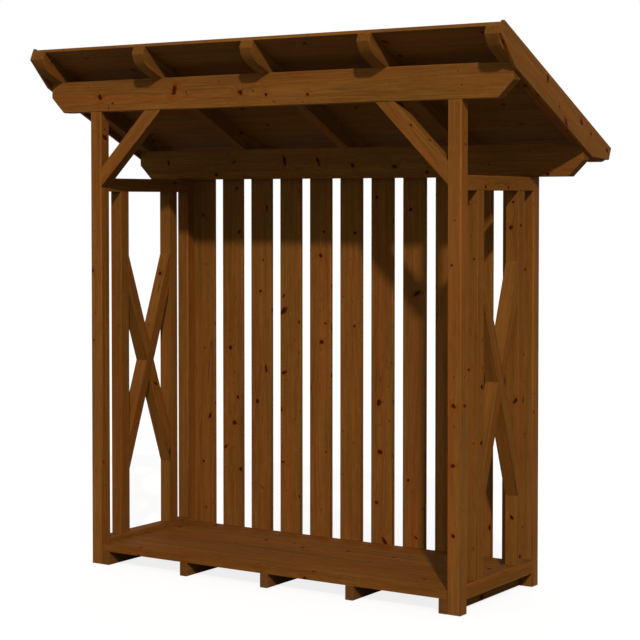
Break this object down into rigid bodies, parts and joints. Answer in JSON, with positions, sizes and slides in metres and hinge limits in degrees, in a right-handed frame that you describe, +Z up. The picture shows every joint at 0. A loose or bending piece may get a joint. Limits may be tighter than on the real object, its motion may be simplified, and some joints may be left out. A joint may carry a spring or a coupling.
{
  "type": "log store",
  "caption": "Open timber log store with a boarded floor, slatted back, cross-braced sides and a lean-to roof on notched rafters.",
  "frame": {"origin": "centre of the whole object's box at ground level, under the posts and bearers", "axes": "+X along the front to the right as seen from the open front, +Y from the open front to the slatted back, +Z up"},
  "size_m": [2.39, 1.0144, 2.3329],
  "materials": {
    "bearer_timber": "sawn softwood, dark brown stain, matt and weathered near the ground",
    "floor_timber": "planed softwood boards, dark brown stain, semi-matt, worn paler where logs lie",
    "post_timber": "planed softwood, dark brown stain, semi-matt, with knots",
    "purlin_timber": "planed softwood, dark brown stain, semi-matt, with knots",
    "brace_timber": "planed softwood, dark brown stain, semi-matt",
    "panel_timber": "planed softwood, dark brown stain, semi-matt, with knots",
    "back_timber": "planed softwood boards, dark brown stain, semi-matt, with knots",
    "rafter_timber": "planed softwood, dark brown stain, semi-matt",
    "roof_timber": "softwood boards, dark brown stain, matt",
    "verge_timber": "planed softwood board, dark brown stain, semi-matt"
  },
  "bodies": {
    "root": {"back_boards": "back_timber", "bearer_1": "bearer_timber", "bearer_2": "bearer_timber", "bearer_3": "bearer_timber", "bearer_4": "bearer_timber", "bearer_5": "bearer_timber", "brace_left": "brace_timber", "brace_right": "brace_timber", "diagonal_falling_left": "panel_timber", "diagonal_falling_right": "panel_timber", "diagonal_rising_left": "panel_timber", "diagonal_rising_right": "panel_timber", "floor_boards": "floor_timber", "post_front_left": "post_timber", "post_front_right": "post_timber", "post_rear_left": "post_timber", "post_rear_right": "post_timber", "purlin_front": "purlin_timber", "purlin_rear": "purlin_timber", "rafter_1": "rafter_timber", "rafter_2": "rafter_timber", "rafter_3": "rafter_timber", "rafter_4": "rafter_timber", "rafter_5": "rafter_timber", "rail_bottom_left": "panel_timber", "rail_bottom_right": "panel_timber", "rail_top_left": "panel_timber", "rail_top_right": "panel_timber", "roof_boards": "roof_timber", "stile_front_left": "panel_timber", "stile_front_right": "panel_timber", "stile_rear_left": "panel_timber", "stile_rear_right": "panel_timber", "verge_board_left": "verge_timber", "verge_board_right": "verge_timber"}
  },
  "joints": []
}
